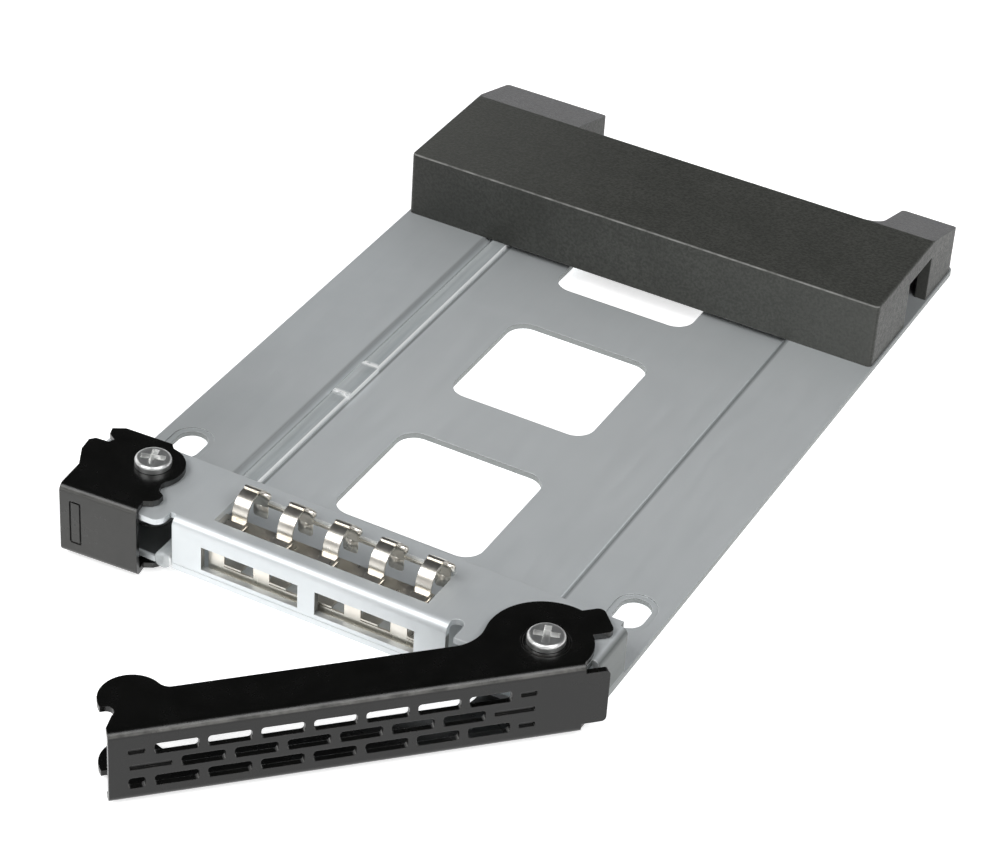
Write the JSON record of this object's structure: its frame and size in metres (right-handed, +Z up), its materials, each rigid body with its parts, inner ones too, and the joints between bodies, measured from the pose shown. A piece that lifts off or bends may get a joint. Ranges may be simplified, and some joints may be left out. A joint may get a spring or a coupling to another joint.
{
  "type": "hot swap drive caddy",
  "caption": "Folded steel carrier for a 2.5 inch drive with a swinging slotted lever, a side latch, sprung contact fingers, a light pipe and a moulded rear block.",
  "frame": {"origin": "midway between the two front drive slots, on the plane that the drive rests on", "axes": "+X to the side of the lever's pivot, +Y from the front to the rear block, +Z up from the seat to the drive"},
  "size_m": [0.0722, 0.1485, 0.0126],
  "materials": {
    "tray_grey": "satin",
    "contact_metal": "satin",
    "clear_plastic": "clear",
    "block_black": "matte",
    "plated_steel": "satin",
    "lever_black": "satin",
    "washer_nylon": "matte",
    "spring_steel": "satin"
  },
  "bodies": {
    "tray": {"tray_plate": "tray_grey", "contact_strip": "contact_metal", "light_pipe": "clear_plastic", "rear_block": "block_black", "block_screws": "plated_steel", "lever_pin": "plated_steel", "lever_sleeve": "plated_steel", "lever_spacer": "washer_nylon", "lever_screw": "plated_steel", "latch_pin": "plated_steel", "latch_sleeve": "plated_steel", "latch_spacer": "washer_nylon", "latch_screw": "plated_steel", "lever_spring": "spring_steel", "latch_spring": "spring_steel"},
    "lever_arm": {"lever": "lever_black"},
    "side_latch": {"latch": "lever_black"}
  },
  "joints": [
    {"name": "lever_swing", "type": "hinge", "parent": "tray", "child": "lever_arm", "pos_m": [0.02854, -0.0183, 0.0025], "axis": [0, 0, 1], "range_deg": [-44.5, 0], "stiffness_Nm_per_rad": 0.002, "springref_deg": 5.73},
    {"name": "latch_release", "type": "hinge", "parent": "tray", "child": "side_latch", "pos_m": [-0.02653, -0.01423, 0.0025], "axis": [0, 0, 1], "range_deg": [-12, 0], "stiffness_Nm_per_rad": 0.002, "springref_deg": 5.73}
  ]
}
